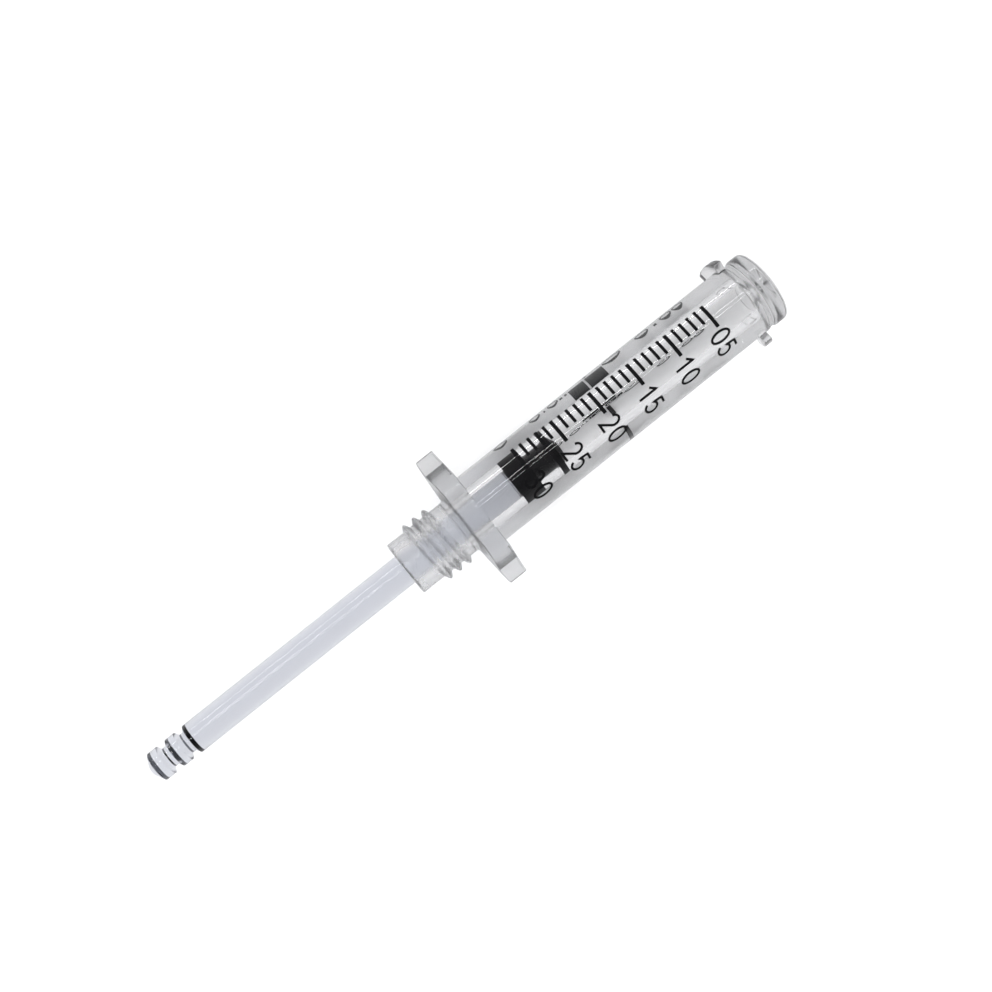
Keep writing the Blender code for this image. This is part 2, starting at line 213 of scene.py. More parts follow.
# Rubber and ink
BLACK_GLOSS = 0.12
BLACK_GRAIN_DETAIL = 4.0
BLACK_CONTRAST = (0.4, 0.6)
RUBBER = {
    "dark": (0.0015, 0.0015, 0.002), "light": (0.004, 0.004, 0.005),
    "scale": 2500.0, "roughness": (0.4, 0.55), "relief": 0.004 * MM,
}
INK = {
    "dark": (0.001, 0.001, 0.0015), "light": (0.006, 0.006, 0.007),
    "scale": 9000.0, "roughness": (0.45, 0.7), "relief": 0.002 * MM,
}

# Fineness of the meshes
SEGMENTS = 192
FILLET_STEPS = 6
SMOOTH_ANGLE = math.radians(32)
BEVEL_ANGLE = math.radians(30)
ON_AXIS_R = 0.0001 * MM            # a smaller radius is a point on the axis

# Studio. The camera sees a white floor and sky, and the plastic transmits and reflects greyer ones. The floor
# seen through the plastic is painted darker, a painted shade for the floor under the object.
WHITE = (1.0, 1.0, 1.0, 1.0)
SKY_HORIZON = (0.57, 0.57, 0.58, 1.0)
SKY_ZENITH = (0.12, 0.12, 0.125, 1.0)
SKY_ZENITH_START = 0.9
FLOOR_HALF_SIZE = 3.0
FLOOR_GAP = 0.02 * MM
FLOOR_ROUGHNESS = 0.9
FLOOR_SHOWN = (0.95, 0.95, 0.95, 1.0)
# painted shade: the floor's colour where it is seen through the plastic, darker than the floor the camera
# sees
FLOOR_PAINTED_SHADE_THROUGH_GLASS = (0.7, 0.7, 0.71, 1.0)
FLOOR_GLOW_START = 0.15            # how far out the shown floor starts to glow, to meet the white sky
FLOOR_GLOW_END = 0.6
FILL_HEIGHT = 0.9
FILL_SIZE = 1.4
FILL_POWER = 11.7
STRIP_DISTANCE = 0.6
STRIP_LENGTH = 0.6
STRIPS = (                         # name, lean from straight above towards +Y in degrees, width, power
    ("strip_low", 57.0, 0.02, 0.5),
    ("strip_mid", 19.0, 0.02, 0.4),
    ("strip_high", 8.5, 0.012, 0.25),
)

# Camera, straight above the axis
VIEW_POINT_X = -36.8 * MM
CAMERA_DISTANCE = 149.8 * MM
CAMERA_ASIDE = 0.09 * MM
CAMERA_LENS = 50.8
CAMERA_SENSOR = 36.0
CAMERA_CLIP_START = 10.0 * MM
CAMERA_TURN = math.radians(-38.53)

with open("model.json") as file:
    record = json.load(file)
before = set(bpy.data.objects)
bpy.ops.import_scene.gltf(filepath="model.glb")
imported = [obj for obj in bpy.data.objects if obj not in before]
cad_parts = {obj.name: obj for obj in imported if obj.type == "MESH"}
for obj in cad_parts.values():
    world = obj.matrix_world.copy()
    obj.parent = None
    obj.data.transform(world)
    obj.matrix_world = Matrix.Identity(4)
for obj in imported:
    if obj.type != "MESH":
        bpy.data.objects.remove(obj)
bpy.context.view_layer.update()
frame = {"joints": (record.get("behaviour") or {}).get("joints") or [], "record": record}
record = frame["record"]


def axis_matrix():
    """The ampoule's axis as the record gives it: origin in the tip face, x forwards, y to the far wing."""
    slide = frame["joints"][0]
    nozzle = next(mount for mount in record["mounts"] if mount["name"] == "nozzle_face")
    along = Vector(slide["axis"]).normalized()
    start = Vector(slide["pos_m"])
    origin = start + along * (Vector(nozzle["pos_m"]) - start).dot(along)
    across = Vector((0.0, 1.0, 0.0))
    upward = along.cross(across)
    turned = Matrix((along, across, upward)).transposed().to_4x4()
    return Matrix.Translation(origin) @ turned


AXIS = axis_matrix()


# ---------------------------------------------------------------- mesh tools

def link(piece):
    bpy.context.scene.collection.objects.link(piece)
    return piece


def mesh_piece(name, work):
    mesh = bpy.data.meshes.new(name)
    work.to_mesh(mesh)
    work.free()
    return link(bpy.data.objects.new(name, mesh))


def rounded(corners):
    """A profile through (x, r, fillet) corners, with an arc at each filleted one."""
    points = []
    for i, (x, r, fillet) in enumerate(corners):
        here = Vector((x, r))
        if fillet <= 0.0:
            points.append(here)
            continue
        before = Vector(corners[i - 1][:2])
        after = Vector(corners[(i + 1) % len(corners)][:2])
        inward, outward = (before - here).normalized(), (after - here).normalized()
        half = inward.angle(outward) / 2
        run = fillet / math.tan(half)
        centre = here + (inward + outward).normalized() * (fillet / math.sin(half))
        first, last = here + inward * run, here + outward * run
        begin = math.atan2(first.y - centre.y, first.x - centre.x)
        sweep = math.atan2(last.y - centre.y, last.x - centre.x) - begin
        sweep = (sweep + math.pi) % (2 * math.pi) - math.pi
        for step in range(FILLET_STEPS + 1):
            angle = begin + sweep * step / FILLET_STEPS
            points.append(centre + Vector((math.cos(angle), math.sin(angle))) * fillet)
    return points


def turned(name, profile, closed=False):
    """A solid turned about x. An open profile starts and ends on the axis, and a closed one makes a ring."""
    work = bmesh.new()
    rings = []
    for x, r in profile:
        if r < ON_AXIS_R:
            rings.append([work.verts.new((x, 0.0, 0.0))])
            continue
        ring = []
        for i in range(SEGMENTS):
            angle = 2 * math.pi * i / SEGMENTS
            ring.append(work.verts.new((x, r * math.cos(angle), r * math.sin(angle))))
        rings.append(ring)
    pairs = list(zip(rings, rings[1:]))
    if closed:
        pairs.append((rings[-1], rings[0]))
    for near, far in pairs:
        for i in range(SEGMENTS):
            j = (i + 1) % SEGMENTS
            corners = [near[i % len(near)], near[j % len(near)], far[j % len(far)], far[i % len(far)]]
            unique = list(dict.fromkeys(corners))
            if len(unique) > 2:
                work.faces.new(unique)
    bmesh.ops.recalc_face_normals(work, faces=work.faces)
    return mesh_piece(name, work)


def lofted(name, sections):
    """A closed solid through equal rings of points, its two ends capped."""
    work = bmesh.new()
    rings = [[work.verts.new(point) for point in section] for section in sections]
    count = len(rings[0])
    for near, far in zip(rings, rings[1:]):
        for i in range(count):
            j = (i + 1) % count
            work.faces.new((near[i], near[j], far[j], far[i]))
    work.faces.new(reversed(rings[0]))
    work.faces.new(rings[-1])
    bmesh.ops.recalc_face_normals(work, faces=work.faces)
    return mesh_piece(name, work)


def prism(name, outline, half_depth):
    """A flat outline in XY, thickened both ways along Z."""
    lower = [(x, y, -half_depth) for x, y in outline]
    upper = [(x, y, half_depth) for x, y in outline]
    return lofted(name, [lower, upper])


def apply_modifiers(piece):
    graph = bpy.context.evaluated_depsgraph_get()
    mesh = bpy.data.meshes.new_from_object(piece.evaluated_get(graph))
    piece.modifiers.clear()
    piece.data = mesh


def combine(target, tool, operation):
    boolean = target.modifiers.new(tool.name, "BOOLEAN")
    boolean.operation = operation
    boolean.solver = "EXACT"
    boolean.object = tool
    apply_modifiers(target)
    bpy.data.objects.remove(tool, do_unlink=True)


def bevelled(piece, width, segments=3):
    bevel = piece.modifiers.new("Edge", "BEVEL")
    bevel.width = width
    bevel.segments = segments
    bevel.limit_method = "ANGLE"
    bevel.angle_limit = BEVEL_ANGLE
    bevel.use_clamp_overlap = True
    apply_modifiers(piece)


def smoothed(piece):
    """Smooth shading whose normals follow the largest faces, so fillets don't bend the long walls."""
    piece.data.shade_smooth()
    piece.data.set_sharp_from_angle(angle=SMOOTH_ANGLE)
    weighted = piece.modifiers.new("Weighted", "WEIGHTED_NORMAL")
    weighted.mode = "FACE_AREA"
    weighted.keep_sharp = True
    apply_modifiers(piece)


def placed(piece, body, material):
    piece.data.transform(AXIS)
    piece.data.materials.clear()
    piece.data.materials.append(material)
    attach(piece, body)
    return piece


def about_axis(x, radius, angle):
    """A point at an angle round the axis, counted from the far wing (+Y) over the top (+Z)."""
    return Vector((x, radius * math.cos(angle), radius * math.sin(angle)))


# ---------------------------------------------------------------- materials

def node(tree, kind, **settings):
    made = tree.nodes.new(kind)
    for key, value in settings.items():
        setattr(made, key, value)
    return made


def clear_plastic(name, colour, density, haze):
    """Glass with a body colour and a haze that varies along X. Lamps shine through its shadow."""
    material = bpy.data.materials.new(name)
    material.use_nodes = True
    tree = material.node_tree
    shader = tree.nodes["Principled BSDF"]
    shader.inputs["Base Color"].default_value = WHITE
    shader.inputs["Transmission Weight"].default_value = 1.0
    shader.inputs["IOR"].default_value = PLASTIC_IOR
    place = node(tree, "ShaderNodeTexCoord")
    grain = node(tree, "ShaderNodeTexNoise")
    grain.inputs["Scale"].default_value = PLASTIC_GRAIN_SCALE
    grain.inputs["Detail"].default_value = PLASTIC_GRAIN_DETAIL
    spread = node(tree, "ShaderNodeMapRange")
    spread.inputs["To Max"].default_value = PLASTIC_GRAIN_HAZE
    parts = node(tree, "ShaderNodeSeparateXYZ")
    reach = node(tree, "ShaderNodeMapRange")
    reach.inputs["From Min"].default_value = (AXIS @ Vector((ROD_END, 0.0, 0.0))).x
    reach.inputs["From Max"].default_value = AXIS.translation.x
    fade = node(tree, "ShaderNodeValToRGB")
    stops = fade.color_ramp.elements
    while len(stops) < len(haze):
        stops.new(0.5)             # anywhere, as each stop is placed below
    for stop, (x, level) in zip(stops, haze):
        stop.position = 1.0 - x / ROD_END
        stop.color = (level, level, level, 1.0)
    rough = node(tree, "ShaderNodeMath", operation="ADD")
    shadow = node(tree, "ShaderNodeLightPath")
    through = node(tree, "ShaderNodeBsdfTransparent")
    chosen = node(tree, "ShaderNodeMixShader")
    body = node(tree, "ShaderNodeVolumeAbsorption")
    body.inputs["Color"].default_value = (*colour, 1.0)
    body.inputs["Density"].default_value = density
    output = tree.nodes["Material Output"]
    join = tree.links.new
    join(place.outputs["Object"], grain.inputs["Vector"])
    join(place.outputs["Object"], parts.inputs["Vector"])
    join(grain.outputs["Fac"], spread.inputs["Value"])
    join(parts.outputs["X"], reach.inputs["Value"])
    join(reach.outputs["Result"], fade.inputs["Fac"])
    join(spread.outputs["Result"], rough.inputs[0])
    join(fade.outputs["Color"], rough.inputs[1])
    join(rough.outputs["Value"], shader.inputs["Roughness"])
    join(shadow.outputs["Is Shadow Ray"], chosen.inputs["Fac"])
    join(shader.outputs["BSDF"], chosen.inputs[1])
    join(through.outputs["BSDF"], chosen.inputs[2])
    join(chosen.outputs["Shader"], output.inputs["Surface"])
    join(body.outputs["Volume"], output.inputs["Volume"])
    return material


def grained(name, dark, light, scale, roughness, relief):
    """A dull black material whose colour, roughness and relief follow one fine noise."""
    material = bpy.data.materials.new(name)
    material.use_nodes = True
    tree = material.node_tree
    shader = tree.nodes["Principled BSDF"]
    shader.inputs["Specular IOR Level"].default_value = BLACK_GLOSS
    place = node(tree, "ShaderNodeTexCoord")
    grain = node(tree, "ShaderNodeTexNoise")
    grain.inputs["Scale"].default_value = scale
    grain.inputs["Detail"].default_value = BLACK_GRAIN_DETAIL
    ramp = node(tree, "ShaderNodeValToRGB")
    for stop, level, colour in zip(ramp.color_ramp.elements, BLACK_CONTRAST, (dark, light)):
        stop.position = level
        stop.color = (*colour, 1.0)
    spread = node(tree, "ShaderNodeMapRange")
    low, high = roughness
    spread.inputs["To Min"].default_value = low
    spread.inputs["To Max"].default_value = high
    bump = node(tree, "ShaderNodeBump")
    bump.inputs["Distance"].default_value = relief
    join = tree.links.new
    join(place.outputs["Object"], grain.inputs["Vector"])
    join(grain.outputs["Fac"], ramp.inputs["Fac"])
    join(ramp.outputs["Color"], shader.inputs["Base Color"])
    join(grain.outputs["Fac"], spread.inputs["Value"])
    join(spread.outputs["Result"], shader.inputs["Roughness"])
    join(grain.outputs["Fac"], bump.inputs["Height"])
    join(bump.outputs["Normal"], shader.inputs["Normal"])
    return material


# ---------------------------------------------------------------- barrel

def barrel_ring():
    corners = [
        (-TIP_DISH_DEPTH, ORIFICE_R, 0.0),
        (0.0, TIP_DISH_R, TIP_DISH_FILLET),
        (0.0, RIM_R, RIM_CHAMFER),
        (-RIM_LENGTH, RIM_R, RIM_REAR_FILLET),
        (GROOVE_START, GROOVE_R, GROOVE_FRONT_FILLET),
        (GROOVE_END, GROOVE_R, GROOVE_REAR_FILLET),
        (GROOVE_END - GROOVE_RAMP, TUBE_R, TUBE_FRONT_FILLET),
        (FLANGE_CENTRE, TUBE_R, 0.0),
        (FLANGE_CENTRE - FLANGE_TIP_THICKNESS / 2, NECK_R + NECK_FILLET, 0.0),
        (NECK_FILLET_END, NECK_R, NECK_FILLET_EDGE),
        (COLLAR_END, NECK_R, COLLAR_CHAMFER),
        (COLLAR_END, LEAD_IN_R, LEAD_IN_FILLET),
        (COLLAR_END + LEAD_IN_LENGTH, BORE_R, LEAD_IN_FILLET),
        (SCALE_ZERO, BORE_R, CONE_FILLET),
        (SCALE_ZERO + CONE_LENGTH, ORIFICE_R, 0.0),
    ]
    return turned("barrel_clear", rounded(corners), closed=True)


def finger_flange():
    """The oval plate, thinned towards its wing tips and drafted up and down, with a hole for the neck."""
    half_root = FLANGE_ROOT_THICKNESS / 2
    half_tip = FLANGE_TIP_THICKNESS / 2
    beyond = 1.0 * MM
    arc_drop = FLANGE_ARC_R - FLANGE_HALF_DEPTH
    arc = []
    for step in range(FLANGE_ARC_STEPS):
        angle = FLANGE_ARC_TURN * (1 - 2 * step / (FLANGE_ARC_STEPS - 1))
        arc.append((FLANGE_ARC_R * math.sin(angle), FLANGE_ARC_R * math.cos(angle) - arc_drop, 0.0))
    end_y, end_z, _ = arc[0]
    wing_z = end_z - (FLANGE_WING_Y - end_y) * math.tan(FLANGE_ARC_TURN)
    right = [(FLANGE_HALF_SPAN, FLANGE_TIP_HALF_DEPTH, FLANGE_TIP_FILLET),
             (FLANGE_WING_Y, wing_z, FLANGE_WING_FILLET)]
    upper = right + arc + [(-y, z, fillet) for y, z, fillet in reversed(right)]
    outline = rounded(upper + [(y, -z, fillet) for y, z, fillet in reversed(upper)])
    plate = prism("finger_flange", outline, half_root)
    outline_to_yz = Matrix(((0, 0, 1), (1, 0, 0), (0, 1, 0))).to_4x4()
    plate.data.transform(outline_to_yz)

    reach = FLANGE_HALF_SPAN + beyond
    slope = (half_root - half_tip) / (FLANGE_HALF_SPAN - FLANGE_ROOT_Y)
    half_reach = half_root - slope * (reach - FLANGE_ROOT_Y)
    quarter = [(half_root, FLANGE_ROOT_Y), (half_reach, reach)]
    taper_outline = quarter + [(-x, y) for x, y in reversed(quarter)]
    taper_outline += [(x, -y) for x, y in reversed(taper_outline)]
    taper = prism("flange_taper", taper_outline, FLANGE_HALF_DEPTH + beyond)

    height = FLANGE_HALF_DEPTH + beyond
    front_edge = half_root - height * math.tan(FLANGE_FRONT_DRAFT)
    rear_edge = -half_root + height * math.tan(FLANGE_REAR_DRAFT)
    draft_outline = [(half_root, 0.0), (front_edge, height), (rear_edge, height)]
    draft_outline += [(-half_root, 0.0), (rear_edge, -height), (front_edge, -height)]
    draft = prism("flange_draft", draft_outline, reach)
    draft.data.transform(Matrix.Rotation(math.pi / 2, 4, "X"))

    combine(plate, taper, "INTERSECT")
    combine(plate, draft, "INTERSECT")
    bevelled(plate, FLANGE_EDGE)
    hole_profile = [(half_root + beyond, 0.0), (half_root + beyond, FLANGE_HOLE_R),
                    (-half_root - beyond, FLANGE_HOLE_R), (-half_root - beyond, 0.0)]
    combine(plate, turned("flange_hole", [Vector(point) for point in hole_profile]), "DIFFERENCE")
    plate.data.transform(Matrix.Translation((FLANGE_CENTRE, 0.0, 0.0)))
    return plate


def bayonet_lug(name, start_angle):
    inner_r = TUBE_R - LUG_ROOT_DEPTH
    sections = []
    for step in range(LUG_STEPS + 1):
        swing = LUG_HALF_ANGLE * (2 * step / LUG_STEPS - 1)
        front = LUG_CENTRE + LUG_LEAD * swing / (2 * math.pi) + LUG_THICKNESS / 2
        rear = front - LUG_THICKNESS
        corners = ((front, inner_r), (front, LUG_R), (rear, LUG_R), (rear, inner_r))
        sections.append([about_axis(x, radius, start_angle + swing) for x, radius in corners])
    lug = lofted(name, sections)
    bevelled(lug, LUG_EDGE, segments=2)
    return lug


def neck_thread():
    """A right-hand ridge with a rounded crest and roots, whose ends fade into the neck."""
    buried_r = NECK_R - THREAD_ROOT_DEPTH
    length = THREAD_END - THREAD_START
    steps = round(length * THREAD_STEPS_PER_TURN)
    sections = []
    for step in range(steps + 1):
        turns = THREAD_START + length * step / steps
        fade = min(1.0, (turns - THREAD_START) / THREAD_RUN_OUT, (THREAD_END - turns) / THREAD_RUN_OUT)
        height = (THREAD_R - buried_r) * max(fade, THREAD_END_HEIGHT)
        x = THREAD_FIRST_CREST + THREAD_PITCH * turns
        shape = []
        for i in range(THREAD_SHAPE_STEPS + 1):
            share = 2 * i / THREAD_SHAPE_STEPS - 1
            rise = max(0.0, (1 + math.cos(math.pi * share)) / 2) ** THREAD_FULLNESS
            shape.append((share * THREAD_WIDTH / 2, rise))
        angle = 2 * math.pi * turns
        sections.append([about_axis(x + dx, buried_r + height * share, angle) for dx, share in shape])
    return lofted("neck_thread", sections)


def clear_barrel(material):
    barrel = barrel_ring()
    additions = (
        finger_flange(),
        bayonet_lug("lug_far", LUG_TURN),
        bayonet_lug("lug_near", math.pi + LUG_TURN),
        neck_thread(),
    )
    for addition in additions:
        combine(barrel, addition, "UNION")
    placed(barrel, "barrel", material)
    smoothed(barrel)
    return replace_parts(barrel, "ampoule_barrel")


# ---------------------------------------------------------------- plunger

def groove(places, front_r, rear_r):
    rear_edge, floor_rear, floor_front, front_edge = (ROD_END + place for place in places)
    return [(front_edge, front_r, ROD_GROOVE_EDGE), (floor_front, ROD_GROOVE_R, ROD_GROOVE_EDGE),
            (floor_rear, ROD_GROOVE_R, ROD_GROOVE_EDGE), (rear_edge, rear_r, ROD_GROOVE_EDGE)]


def clear_rod(material):
    barb_front = STOPPER_REAR + SPIGOT_LENGTH
    corners = [
        (barb_front, 0.0, 0.0),
        (barb_front, SPIGOT_TIP_R, SPIGOT_TIP_EDGE),
        (barb_front - BARB_TAPER, SPIGOT_BARB_R, SPIGOT_EDGE),
        (barb_front - BARB_LENGTH, SPIGOT_BARB_R, BARB_EDGE),
        (barb_front - BARB_LENGTH, SPIGOT_NECK_R, SPIGOT_EDGE),
        (ROD_SHOULDER, SPIGOT_NECK_R, SPIGOT_EDGE),
        (ROD_SHOULDER, ROD_R, ROD_EDGE),
    ]
    corners += groove(FRONT_GROOVE, ROD_R, ROD_HEAD_R)
    corners += groove(REAR_GROOVE, ROD_HEAD_R, ROD_HEAD_R)
    corners += [
        (ROD_END + ROD_END_CONE, ROD_HEAD_R, ROD_END_CONE_EDGE),
        (ROD_END, ROD_END_FACE_R, ROD_END_FACE_EDGE),
        (ROD_END, 0.0, 0.0),
    ]
    rod = turned("rod_clear", rounded(corners))
    placed(rod, "plunger", material)
    smoothed(rod)
    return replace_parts(rod, "plunger_rod")


def stopper(material):
    rib_r = BORE_R + STOPPER_PRESS
    socket_neck_r = SPIGOT_NECK_R + PIECE_GAP
    socket_barb_r = SPIGOT_BARB_R + PIECE_GAP
    socket_neck_end = STOPPER_REAR + SOCKET_NECK_LENGTH
    socket_end = STOPPER_REAR + SOCKET_DEPTH
    rear_rib_end = STOPPER_REAR + REAR_RIB_LENGTH
    front_rib_start = STOPPER_FRONT - FRONT_RIB_LENGTH
    corners = [
        (STOPPER_FRONT + NOSE_LENGTH, 0.0, 0.0),
        (STOPPER_FRONT + NOSE_LENGTH, NOSE_R, NOSE_EDGE),
        (STOPPER_FRONT, rib_r, RIB_EDGE),
        (front_rib_start, rib_r, RIB_EDGE),
        (front_rib_start - RIB_SLOPE, STOPPER_WAIST_R, RIB_EDGE),
        (rear_rib_end + RIB_SLOPE, STOPPER_WAIST_R, RIB_EDGE),
        (rear_rib_end, rib_r, RIB_EDGE),
        (STOPPER_REAR, rib_r, RIB_EDGE),
        (STOPPER_REAR, socket_neck_r, SOCKET_EDGE),
        (socket_neck_end, socket_neck_r, 0.0),
        (socket_neck_end, socket_barb_r, 0.0),
        (socket_end - SOCKET_TAPER, socket_barb_r, SOCKET_EDGE),
        (socket_end, SOCKET_END_R, SOCKET_EDGE),
        (socket_end, 0.0, 0.0),
    ]
    rubber = turned("stopper_rubber", rounded(corners))
    placed(rubber, "plunger", material)
    smoothed(rubber)
    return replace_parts(rubber, "rubber_stopper")


# ---------------------------------------------------------------- ink

def wrapped(x, arc, lift):
    """A point of the print: x along the axis, arc round it from the top towards -Y, lift off the tube."""
    radius = TUBE_R + lift
    return Vector((x, -radius * math.sin(arc), radius * math.cos(arc)))


def ink_ribbon(work, path, width, closed=False):
    """A thin stroke of ink of even width along a path of (x, arc length) points on the unrolled tube."""
    count = len(path)
    left, right = [], []
    for i, point in enumerate(path):
        before = path[i - 1] if (i > 0 or closed) else None
        after = path[(i + 1) % count] if (i < count - 1 or closed) else None
        ways = []
        if before is not None:
            ways.append((point - before).normalized())
        if after is not None:
            ways.append((after - point).normalized())
        way = sum(ways, Vector((0.0, 0.0))).normalized()
        mitre = 1.0 if len(ways) < 2 else 1.0 / max(INK_MITRE_FLOOR, way.dot(ways[0]))
        side = Vector((-way.y, way.x)) * (width / 2 * mitre)
        left.append(point + side)
        right.append(point - side)
    sections = []
    for a, b in zip(left, right):
        section = []
        for flat, lift in ((a, INK_ROOT), (a, INK_TOP), (b, INK_TOP), (b, INK_ROOT)):
            section.append(work.verts.new(wrapped(flat.x, flat.y / TUBE_R, lift)))
        sections.append(section)
    pairs = list(zip(sections, sections[1:]))
    if closed:
        pairs.append((sections[-1], sections[0]))
    for near, far in pairs:
        for i in range(4):
            j = (i + 1) % 4
            work.faces.new((near[i], near[j], far[j], far[i]))
    if not closed:
        work.faces.new(reversed(sections[0]))
        work.faces.new(sections[-1])


def straight(start, end, step):
    """Evenly spaced points from start to end, at most a step apart."""
    count = max(1, math.ceil((end - start).length / step))
    return [start.lerp(end, i / count) for i in range(count + 1)]


def arc_points(centre, rx, ry, begin, end, steps):
    """Points of an upright ellipse's arc, from begin to end in degrees."""
    points = []
    for i in range(steps + 1):
        angle = math.radians(begin + (end - begin) * i / steps)
        points.append(Vector((centre[0] + rx * math.cos(angle), centre[1] + ry * math.sin(angle))))
    return points


def digit_path(digit):
    """A numeral's stroke in a box one wide and one high, as (across, up) points, and whether it closes."""
    if digit == "0":
        return arc_points((0.5, 0.5), 0.5, 0.5, 0, 360, 40)[:-1], True
    if digit == "1":
        return [Vector((0.1, 0.74)), Vector((0.6, 1.0)), Vector((0.6, 0.0))], False
    if digit == "2":
        curve = arc_points((0.5, 0.7), 0.46, 0.3, 165, -35, 18)
        return curve + [Vector((0.02, 0.0)), Vector((1.0, 0.0))], False
    if digit == "3":
        upper = arc_points((0.45, 0.75), 0.42, 0.25, 160, -75, 16)
        lower = arc_points((0.48, 0.27), 0.5, 0.27, 75, -160, 18)
        return upper + lower, False
    top = [Vector((0.9, 1.0)), Vector((0.2, 1.0)), Vector((0.1, 0.55))]
    return top + arc_points((0.46, 0.33), 0.52, 0.33, 125, -155, 20), False


def add_digit(work, digit, x, arc):
    """One numeral with its foot at x, its top towards the nozzle and its left side at the arc length."""
    points, closed = digit_path(digit)
    half = DIGIT_STROKE / 2
    inner_w, inner_h = DIGIT_WIDTH - DIGIT_STROKE, DIGIT_HEIGHT - DIGIT_STROKE
    flat = [Vector((x + half + point.y * inner_h, arc + half + point.x * inner_w)) for point in points]
    if not closed:
        dense = []
        for start, end in zip(flat, flat[1:]):
            dense += straight(start, end, DIGIT_STEP)[:-1]
        flat = dense + [flat[-1]]
    ink_ribbon(work, flat, DIGIT_STROKE, closed)


def printed(name, work, material):
    """The finished print as one piece that rides the barrel."""
    bmesh.ops.recalc_face_normals(work, faces=work.faces)
    return placed(mesh_piece(name, work), "barrel", material)


def skew(reading):
    return PRINT_SKEW * (reading - FIRST_TICK) ** 2


def scale_ticks(material):
    work = bmesh.new()
    for reading in range(FIRST_TICK, LAST_TICK + 1):
        major = reading % NUMERAL_EVERY == 0
        start = TICK_START - skew(reading)
        end = start + (MAJOR_TICK_ARC if major else MINOR_TICK_ARC)
        x = SCALE_ZERO - reading * UNIT_TRAVEL
        path = straight(Vector((x, start * TUBE_R)), Vector((x, end * TUBE_R)), INK_STEP * TUBE_R)
        ink_ribbon(work, path, MAJOR_TICK_WIDTH if major else MINOR_TICK_WIDTH)
    return printed("scale_ticks", work, material)


def scale_numerals(material):
    work = bmesh.new()
    for reading in range(FIRST_TICK, LAST_TICK + 1, NUMERAL_EVERY):
        x = SCALE_ZERO - reading * (UNIT_TRAVEL + DIGIT_DRIFT) - DIGIT_HEIGHT / 2 - DIGIT_SETBACK
        arc = (DIGIT_START - skew(reading) / 2) * TUBE_R
        for place, digit in enumerate(f"{reading:02d}"):
            add_digit(work, digit, x, arc + place * DIGIT_PITCH)
    return printed("scale_numerals", work, material)


def add_block(work, rear, front, low, high):
    """A plain printed rectangle between two places along the axis and two polar angles."""
    steps = max(2, round((high - low) / INK_STEP))
    middle = (rear + front) / 2
    path = [Vector((middle, -(low + (high - low) * i / steps) * TUBE_R)) for i in range(steps + 1)]
    ink_ribbon(work, path, front - rear)


def back_marks(material):
    """Plain blocks, bars, dashes and rings on the underside, where the object has print that isn't copied."""
    work = bmesh.new()
    rows = ((BACK_BLOCKS, BACK_BLOCK_ARC), (BACK_BARS, BACK_BAR_ARC), (BACK_DASHES, BACK_DASH_ARC),
            ((BACK_STEM,), BACK_STEM_ARC))
    for places, arc in rows:
        for rear, front in places:
            add_block(work, rear, front, *arc)
    middle = sum(BACK_RING_ARC) / 2 * TUBE_R
    half_height = (BACK_RING_ARC[1] - BACK_RING_ARC[0]) / 2 * TUBE_R
    for x, width in BACK_RINGS:
        ring = arc_points((x, -middle), width / 2, half_height, 0, 360, BACK_RING_STEPS)[:-1]
        ink_ribbon(work, ring, BACK_STROKE, closed=True)
    return printed("back_marks", work, material)


# ---------------------------------------------------------------- stage

def soft_lamp(name, place, aim, size_x, size_y, power):
    """A rectangular lamp facing its aim, one side along X. It isn't seen directly or through the plastic."""
    data = bpy.data.lights.new(name, "AREA")
    data.shape = "RECTANGLE"
    data.size = size_x
    data.size_y = size_y
    data.energy = power
    lamp = link(bpy.data.objects.new(name, data))
    down = (Vector(aim) - Vector(place)).normalized()
    side = Vector((1.0, 0.0, 0.0))
    side = (side - down * side.dot(down)).normalized()
    up = (-down).cross(side)
    lamp.matrix_world = Matrix.Translation(place) @ Matrix((side, up, -down)).transposed().to_4x4()
    lamp.visible_camera = False
    lamp.visible_transmission = False
    return lamp


def build_world():
    world = bpy.data.worlds.new("studio")
    bpy.context.scene.world = world
    world.use_nodes = True
    tree = world.node_tree
    background = tree.nodes["Background"]
    place = node(tree, "ShaderNodeTexCoord")
    parts = node(tree, "ShaderNodeSeparateXYZ")
    sky = node(tree, "ShaderNodeValToRGB")
    horizon, zenith = sky.color_ramp.elements
    horizon.color = SKY_HORIZON
    zenith.position = SKY_ZENITH_START
    zenith.color = SKY_ZENITH
    seen = node(tree, "ShaderNodeLightPath")
    shade = node(tree, "ShaderNodeMix", data_type="RGBA")
    shade.inputs["B"].default_value = WHITE
    join = tree.links.new
    join(place.outputs["Generated"], parts.inputs["Vector"])
    join(parts.outputs["Z"], sky.inputs["Fac"])
    join(seen.outputs["Is Camera Ray"], shade.inputs["Factor"])
    join(sky.outputs["Color"], shade.inputs["A"])
    join(shade.outputs["Result"], background.inputs["Color"])


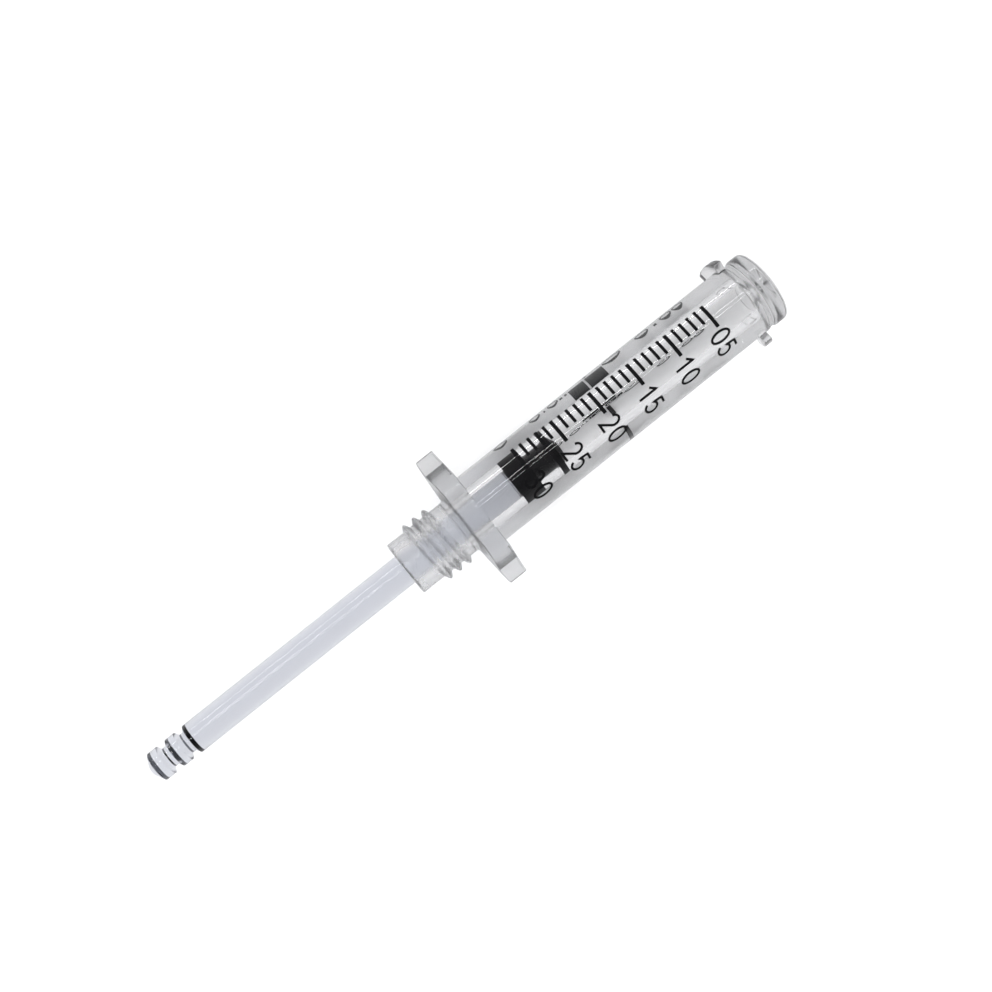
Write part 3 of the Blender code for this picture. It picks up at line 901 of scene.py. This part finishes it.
def build_floor():
    floor_mesh = bmesh.new()
    bmesh.ops.create_grid(floor_mesh, x_segments=1, y_segments=1, size=FLOOR_HALF_SIZE)
    floor = mesh_piece("floor", floor_mesh)
    floor.location.z = -FLOOR_GAP
    paper = bpy.data.materials.new("pale_paper")
    paper.use_nodes = True
    tree = paper.node_tree
    shader = tree.nodes["Principled BSDF"]
    shader.inputs["Roughness"].default_value = FLOOR_ROUGHNESS
    shader.inputs["Specular IOR Level"].default_value = 0.0
    shader.inputs["Emission Color"].default_value = WHITE
    path = node(tree, "ShaderNodeLightPath")
    shade = node(tree, "ShaderNodeMix", data_type="RGBA")
    # painted shade: through the plastic the floor takes the darker colour, in place of the shadow under the
    # object
    shade.inputs["A"].default_value = FLOOR_PAINTED_SHADE_THROUGH_GLASS
    shade.inputs["B"].default_value = FLOOR_SHOWN
    place = node(tree, "ShaderNodeTexCoord")
    away = node(tree, "ShaderNodeVectorMath", operation="LENGTH")
    glow = node(tree, "ShaderNodeMapRange")
    glow.inputs["From Min"].default_value = FLOOR_GLOW_START
    glow.inputs["From Max"].default_value = FLOOR_GLOW_END
    shown = node(tree, "ShaderNodeMath", operation="MULTIPLY")
    join = tree.links.new
    join(path.outputs["Is Camera Ray"], shade.inputs["Factor"])
    join(shade.outputs["Result"], shader.inputs["Base Color"])
    join(place.outputs["Object"], away.inputs[0])
    join(away.outputs["Value"], glow.inputs["Value"])
    join(glow.outputs["Result"], shown.inputs[0])
    join(path.outputs["Is Camera Ray"], shown.inputs[1])
    join(shown.outputs["Value"], shader.inputs["Emission Strength"])
    floor.data.materials.append(paper)


def build_lamps():
    middle = AXIS @ Vector((VIEW_POINT_X, 0.0, 0.0))
    for name, lean, width, power in STRIPS:
        angle = math.radians(lean)
        place = middle + Vector((0.0, math.sin(angle), math.cos(angle))) * STRIP_DISTANCE
        soft_lamp(name, place, middle, STRIP_LENGTH, width, power)
    above = middle + Vector((0.0, 0.0, FILL_HEIGHT))
    fill = soft_lamp("fill", above, middle, FILL_SIZE, FILL_SIZE, FILL_POWER)
    fill.visible_glossy = False


def build_camera():
    data = bpy.data.cameras.new("camera")
    data.lens = CAMERA_LENS
    data.sensor_width = CAMERA_SENSOR
    data.clip_start = CAMERA_CLIP_START
    camera = link(bpy.data.objects.new("camera", data))
    above = AXIS @ Vector((VIEW_POINT_X, 0.0, 0.0))
    camera.location = above + Vector((0.0, CAMERA_ASIDE, CAMERA_DISTANCE))
    camera.rotation_euler = (0.0, 0.0, CAMERA_TURN)
    bpy.context.scene.camera = camera


def main():
    bpy.context.scene.view_settings.view_transform = "Standard"
    barrel_look = clear_plastic("clear_moulding", BARREL_COLOUR, BARREL_DENSITY, BARREL_HAZE)
    rod_look = clear_plastic("lavender_moulding", ROD_COLOUR, ROD_DENSITY, ROD_HAZE)
    rubber_look = grained("rubber", **RUBBER)
    ink_look = grained("ink", **INK)
    clear_barrel(barrel_look)
    clear_rod(rod_look)
    stopper(rubber_look)
    scale_ticks(ink_look)
    scale_numerals(ink_look)
    back_marks(ink_look)
    build_world()
    build_floor()
    build_lamps()
    build_camera()


main()
